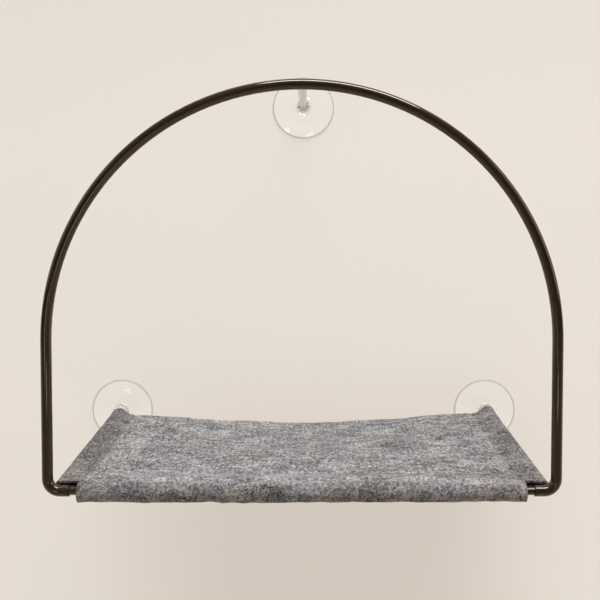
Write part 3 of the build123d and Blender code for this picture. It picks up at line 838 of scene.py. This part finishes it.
def strands(name, s, t, turn, bend, length, width, lift, side, material):
    """Loose fibres on the felt: each runs from a flat place in a direction that turns evenly along it.

    Its height over the face is lift sin(pi u) - 0.12 mm, with both ends sunk in. It is a flat strip of five
    pairs of points, level with the face and tapered towards its ends.
    """
    u = np.linspace(0, 1, 5)
    angle = turn[:, None] + bend[:, None] * (u - 0.5)
    step = length[:, None] / 4
    run_s = s[:, None] + np.cumsum(np.cos(angle) * step, 1)
    run_t = t[:, None] + np.cumsum(np.sin(angle) * step, 1)
    # Fibres that would leave the sheet are laid back on it
    on_front = t[:, None] > mouth_t
    limit = np.where(on_front, front_end_x - 0.5, across_end - 1)
    run_s = np.clip(run_s, -limit, limit)
    run_t = np.where(
        on_front,
        np.clip(run_t, mouth_t + 1, flap_end_t - 1),
        np.clip(run_t, 0.5, mouth_t - 0.5),
    )
    here, normal = sheet_frame(run_s.ravel(), run_t.ravel())
    here = here.reshape(len(s), 5, 3)
    normal = normal.reshape(len(s), 5, 3) * side[:, None, None]
    sunk = 0.12
    height = 0.5 * felt_thickness - sunk + lift[:, None] * np.sin(np.pi * u)
    spine = here + normal * height[..., None]
    ahead = np.gradient(spine, axis=1)
    across = np.cross(ahead, normal)
    across /= np.maximum(np.linalg.norm(across, axis=-1, keepdims=True), 1e-9)
    taper = (0.35 + 0.65 * np.sin(np.pi * (0.08 + 0.84 * u))) * 0.5
    reach = across * (width[:, None] * taper)[..., None]
    points = np.stack([spine - reach, spine + reach], 2).reshape(-1, 3)
    quads = np.array([[0, 1, 3, 2], [2, 3, 5, 4], [4, 5, 7, 6], [6, 7, 9, 8]])
    faces = (quads[None] + 10 * np.arange(len(s))[:, None, None]).reshape(-1, 4)
    made = add_mesh(name, points, faces)
    dress(made, material)
    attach(made, "seat")
    return made


def make_fibres(name, count, seed, material, high):
    """Fibres scattered evenly over the sheet's outer face, and a quarter of the panel's over its inner face.

    They stand off by lift = 0.16 + high v^5 mm, with v even between 0 and 1, so that only a few stand up.
    """
    rng = np.random.default_rng(seed)
    s = rng.uniform(-across_end + 3, across_end - 3, count)
    t = rng.uniform(1, flap_end_t - 3, count)
    keep = (np.abs(s) < front_end_x - 3) | (t < mouth_t - 3)
    s, t = s[keep], t[keep]
    count = len(s)
    inner = (rng.uniform(0, 1, count) < 0.25) & (np.abs(s) < 236) & (t < 215)
    side = np.where(inner, -1.0, 1.0)
    turn = rng.uniform(0, 2 * np.pi, count)
    bend = rng.normal(0, 1.3, count)
    length = rng.uniform(3.0, 8.0, count)
    width = rng.uniform(0.22, 0.36, count)
    lift = 0.16 + high * rng.uniform(0, 1, count) ** 5
    return strands(name, s, t, turn, bend, length, width, lift, side, material)


def make_stitches():
    """Lock stitches sunk in the felt: a 3.6 mm pitch down each side seam and along the front seam.

    Each is a rod of six sides along an arc, 3 mm long and 0.56 mm thick, sunk at both ends.
    """
    pitch, length, radius = 3.6, 3.0, 0.28
    front_seam_t = 229.0
    down = np.arange(6, mouth_t - 4, pitch)
    over = np.arange(-front_end_x + 5, front_end_x - 4, pitch)
    s = np.concatenate([np.full(len(down), -seam_x - 1.0), np.full(len(down), seam_x + 1.0), over])
    t = np.concatenate([down, down, np.full(len(over), front_seam_t)])
    turn = np.concatenate([np.full(2 * len(down), 0.5 * np.pi), np.zeros(len(over))])
    u = np.linspace(-0.5, 0.5, 5)
    run_s = s[:, None] + length * u * np.cos(turn)[:, None]
    run_t = t[:, None] + length * u * np.sin(turn)[:, None]
    here, normal = sheet_frame(run_s.ravel(), run_t.ravel())
    here, normal = here.reshape(-1, 5, 3), normal.reshape(-1, 5, 3)
    spine = here + normal * (0.5 * felt_thickness - 0.5 + 0.55 * np.cos(np.pi * u))[..., None]
    ahead = np.gradient(spine, axis=1)
    ahead /= np.linalg.norm(ahead, axis=-1, keepdims=True)
    across = np.cross(ahead, normal)
    up = np.cross(across, ahead)
    around = np.linspace(0, 2 * np.pi, 6, endpoint=False)
    ring = across[:, :, None] * np.cos(around)[:, None] + up[:, :, None] * np.sin(around)[:, None]
    points = (spine[:, :, None] + radius * ring).reshape(-1, 3)
    one = grid_faces(5, 6, wrap_columns=True)
    faces = (one[None] + 30 * np.arange(len(s))[:, None, None]).reshape(-1, 4)
    made = add_mesh("felt_stitches", points, faces)
    dress(made, seam_thread)
    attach(made, "seat")
    return made


felt, felt_area = make_felt()
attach(felt, "seat")
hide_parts("felt_sling")
pale_fibres = make_fibres("felt_fibres_pale", 13000, 301, fibre_pale, 1.1)
dark_fibres = make_fibres("felt_fibres_dark", 9000, 302, fibre_dark, 0.7)
stitches = make_stitches()


# Clear cups and nuts
def turned(name, profile, centre_x, centre_z, steps):
    """A solid of revolution about a line along Y: each profile point (radius, depth) makes a ring."""
    radii, depths = profile[:, :1], profile[:, 1:]
    turn = np.linspace(0, 2 * np.pi, steps, endpoint=False)
    x = centre_x + radii * np.cos(turn)
    z = centre_z + radii * np.sin(turn)
    y = np.broadcast_to(depths, x.shape)
    points = np.stack([x, y, z], -1).reshape(-1, 3)
    return add_mesh(name, points, grid_faces(len(profile), steps, wrap_columns=True))


def arc_through(a, b, c, count):
    """Points of the circle through three points of a profile, from the first to the last."""
    (ax, ay), (bx, by), (cx, cy) = a, b, c
    d = 2 * (ax * (by - cy) + bx * (cy - ay) + cx * (ay - by))
    ux = ((ax**2 + ay**2) * (by - cy) + (bx**2 + by**2) * (cy - ay) + (cx**2 + cy**2) * (ay - by)) / d
    uy = ((ax**2 + ay**2) * (cx - bx) + (bx**2 + by**2) * (ax - cx) + (cx**2 + cy**2) * (bx - ax)) / d
    radius = math.hypot(ax - ux, ay - uy)
    start, end = math.atan2(ay - uy, ax - ux), math.atan2(cy - uy, cx - ux)
    end = start + (end - start + math.pi) % (2 * math.pi) - math.pi
    angle = np.linspace(start, end, count)
    return np.stack([ux + radius * np.cos(angle), uy + radius * np.sin(angle)], -1)


def cup_profile():
    """Half section of a cup, as (radius, depth), from the middle of its hollow to the middle of its neck.

    It runs along the hollow's arc to the sealing ring, round the rim, up the skirt's arc, up a cubic flare
    that leaves and arrives along given slopes, and over a quarter circle of 3 mm to the neck's end.
    """
    hollow = arc_through((0.02, -3.6), (19.8, -2.59), (36, 0), 22)
    rim = arc_through((44.3, 0), (45, -0.7), (44.3, -1.4), 9)
    skirt = arc_through((44.3, -1.45), (32.5, -4.36), (20, -8.5), 22)[1:]
    u = np.linspace(0, 1, 12)[1:, None]
    start, end = np.array([20, -8.5]), np.array([11.5, -15.0])
    leave, arrive = np.array([-11.0, -5.4]), np.array([0, -9.0])
    flare = (
        (2 * u**3 - 3 * u**2 + 1) * start
        + (u**3 - 2 * u**2 + u) * leave
        + (3 * u**2 - 2 * u**3) * end
        + (u**3 - u**2) * arrive
    )
    turn = np.linspace(0, np.pi / 2, 8)
    shoulder = np.array([8.5, -19.0]) + 3.0 * np.stack([np.cos(turn), -np.sin(turn)], -1)
    return np.concatenate([hollow, rim, skirt, flare, shoulder, [[0.02, -22.0]]])


def make_cup(place):
    """One suction cup, with the small flats of its seal kept at the glass."""
    x, z = cup_places[place]
    steps = 128
    profile = cup_profile()
    cup = turned(f"{place}_cup_vinyl", profile, x, z, steps)
    dress(cup, clear_cup)
    cup.data.materials.append(trimmed_rim)
    # The rim was trimmed from its mould, so its edge, past 44.2 mm, is matt
    ring = profile[:-1, 0] > 44.2
    cup.data.polygons.foreach_set("material_index", np.repeat(ring, steps).astype(np.int32))
    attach(cup, f"cup_{place}")
    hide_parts(f"{place}_cup")


def nut_outline():
    """Outline of the nut, its outward normals, and the bore's angle that each point is joined to.

    One half petal runs from its tip down to the slot's floor: an arc of radius R about a point c from the
    middle, a flank that lies 0.8 mm beside the slot's line, and a quarter circle of 0.8 mm round the
    slot's floor. The arc touches the flank and the outer radius of 9.5 mm, so R = 9.5 - c, where c is
    (9.5 + 0.8) / (1 + sin 22.5).
    """
    outer, slot, floor = 9.5, 0.8, 4.2
    half = np.pi / 8
    c = (outer + slot) / (1 + math.sin(half))
    along = np.array([math.cos(half), math.sin(half)])
    inward = np.array([math.sin(half), -math.cos(half)])
    swing = np.linspace(0, np.pi / 2 + half, 10)[:, None]
    tip_normal = np.concatenate([np.cos(swing), np.sin(swing)], 1)
    tip = np.array([c, 0]) + (outer - c) * tip_normal
    s = np.linspace(c * math.cos(half), floor + slot, 5)[1:, None]
    flank = along * s + inward * slot
    swing = np.linspace(0, np.pi / 2, 6)[1:, None]
    reach = inward * np.cos(swing) - along * np.sin(swing)
    bottom = along * (floor + slot) + slot * reach
    points = np.concatenate([tip, flank, bottom])
    normals = np.concatenate([tip_normal, np.tile(-inward, (len(s), 1)), -reach])
    bore = np.concatenate([np.linspace(0, 0.1, 10), np.linspace(0.12, 0.2, 4), np.linspace(0.24, half, 5)])
    flip = np.array([1, -1])
    points = np.concatenate([(points * flip)[:0:-1], points[:-1]])
    normals = np.concatenate([(normals * flip)[:0:-1], normals[:-1]])
    bore = np.concatenate([-bore[:0:-1], bore[:-1]])
    turn = (np.arange(8) * np.pi / 4)[:, None]

    def round_eight(pair):
        """All eight petals: (x cos a - z sin a, x sin a + z cos a) at every eighth of a turn."""
        x, z = pair[:, 0], pair[:, 1]
        across = x * np.cos(turn) - z * np.sin(turn)
        up = x * np.sin(turn) + z * np.cos(turn)
        return np.stack([across, up], -1).reshape(-1, 2)

    return round_eight(points), round_eight(normals), (bore + turn).ravel()


def make_nut(place):
    """Lobed nut 8 mm thick: the petal outline, rims rounded over 0.8 mm, and a bore of radius 3.15 mm.

    The profile goes over the back, down the outside, over the face and through the bore.
    """
    x0, z0 = cup_places[place]
    outline, normals, bore = nut_outline()
    steps = len(bore)
    corner = np.linspace(0, np.pi / 2, 6)
    rounding, bore_radius = 0.8, 3.15
    over, down = rounding * (1 - np.sin(corner)), rounding * (1 - np.cos(corner))
    inset = np.concatenate([over, down])
    depth = np.concatenate([-down, -nut_thickness + over])
    rings = outline - inset[:, None, None] * normals
    hole = bore_radius * np.stack([np.cos(bore), np.sin(bore)], -1)
    rings = np.concatenate([hole[None], rings, hole[None]])
    depth = np.concatenate([[0.0], depth, [-nut_thickness]])
    y = nut_back_y + np.broadcast_to(depth[:, None], rings.shape[:2])
    points = np.stack([x0 + rings[..., 0], y, z0 + rings[..., 1]], -1).reshape(-1, 3)
    faces = grid_faces(len(depth), steps, wrap_rows=True, wrap_columns=True)
    nut = add_mesh(f"{place}_nut_lobed", points, faces)
    dress(nut, clear_acrylic)
    nut.data.materials.append(slot_acrylic_painted_shade)
    # The slots' floors and flanks, inside a radius of 8.7 mm and off both faces, are sawn, so they are matt,
    # and they take the dark painted shade
    sawn_and_shaded = np.hypot(outline[:, 0], outline[:, 1]) < 8.7
    sawn_and_shaded = sawn_and_shaded & np.roll(sawn_and_shaded, -1)
    row = np.arange(len(depth))
    steep = (row >= 3) & (row <= len(depth) - 3)
    nut.data.polygons.foreach_set("material_index", (steep[:, None] & sawn_and_shaded[None]).astype(np.int32).ravel())
    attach(nut, f"nut_{place}")
    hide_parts(f"{place}_nut")


def make_core():
    """Steel cable inside the stay: six wires of 1 mm wound round a seventh, one turn in 22 mm.

    Wire k's middle is at radius 1 mm and angle 2 pi (k / 6 + y / 22), and each wire is a tube of eight sides.
    """
    front_y, rear_y = -281.7, -41.6
    wires, sides, pitch, radius = 6, 8, 22.0, 0.5
    y = np.linspace(front_y, rear_y, 190)
    around = np.linspace(0, 2 * np.pi, sides, endpoint=False)
    points, faces, count = [], [], 0
    for k in range(wires + 1):
        lay = 2 * np.pi * (k / wires + (y - front_y) / pitch)
        reach = 0.0 if k == wires else 2 * radius
        x = reach * np.cos(lay)[:, None] + radius * np.cos(around)
        z = arch_height + reach * np.sin(lay)[:, None] + radius * np.sin(around)
        tube = np.stack([x, np.broadcast_to(y[:, None], x.shape), z], -1).reshape(-1, 3)
        points.append(tube)
        faces.append(grid_faces(len(y), sides, wrap_columns=True)[:, ::-1] + count)
        count += len(tube)
    core = add_mesh("stay_core_wires", np.concatenate(points), np.concatenate(faces))
    dress(core, cable_steel)
    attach(core, "stay")
    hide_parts("stay_core")


make_core()
for place in cup_places:
    make_cup(place)
    make_nut(place)
    dress(nodes[f"{place}_stud"], clear_stud)

# Metal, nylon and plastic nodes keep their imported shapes
for name, material in {
    "arch_tube": painted_tube,
    "front_rod": painted_rod,
    "seat_frame": painted_rod,
    "arch_bush_left": black_nylon,
    "arch_bush_right": black_nylon,
    "bar_clip_left": black_nylon,
    "bar_clip_middle": black_nylon,
    "bar_clip_right": black_nylon,
    "apex_insert": zinc_steel,
    "apex_stud": zinc_steel,
    "stay_front_ferrule": clear_acrylic,
    "stay_wall_ferrule": clear_acrylic,
    "stay_sheath": clear_tube,
}.items():
    dress(nodes[name], material)
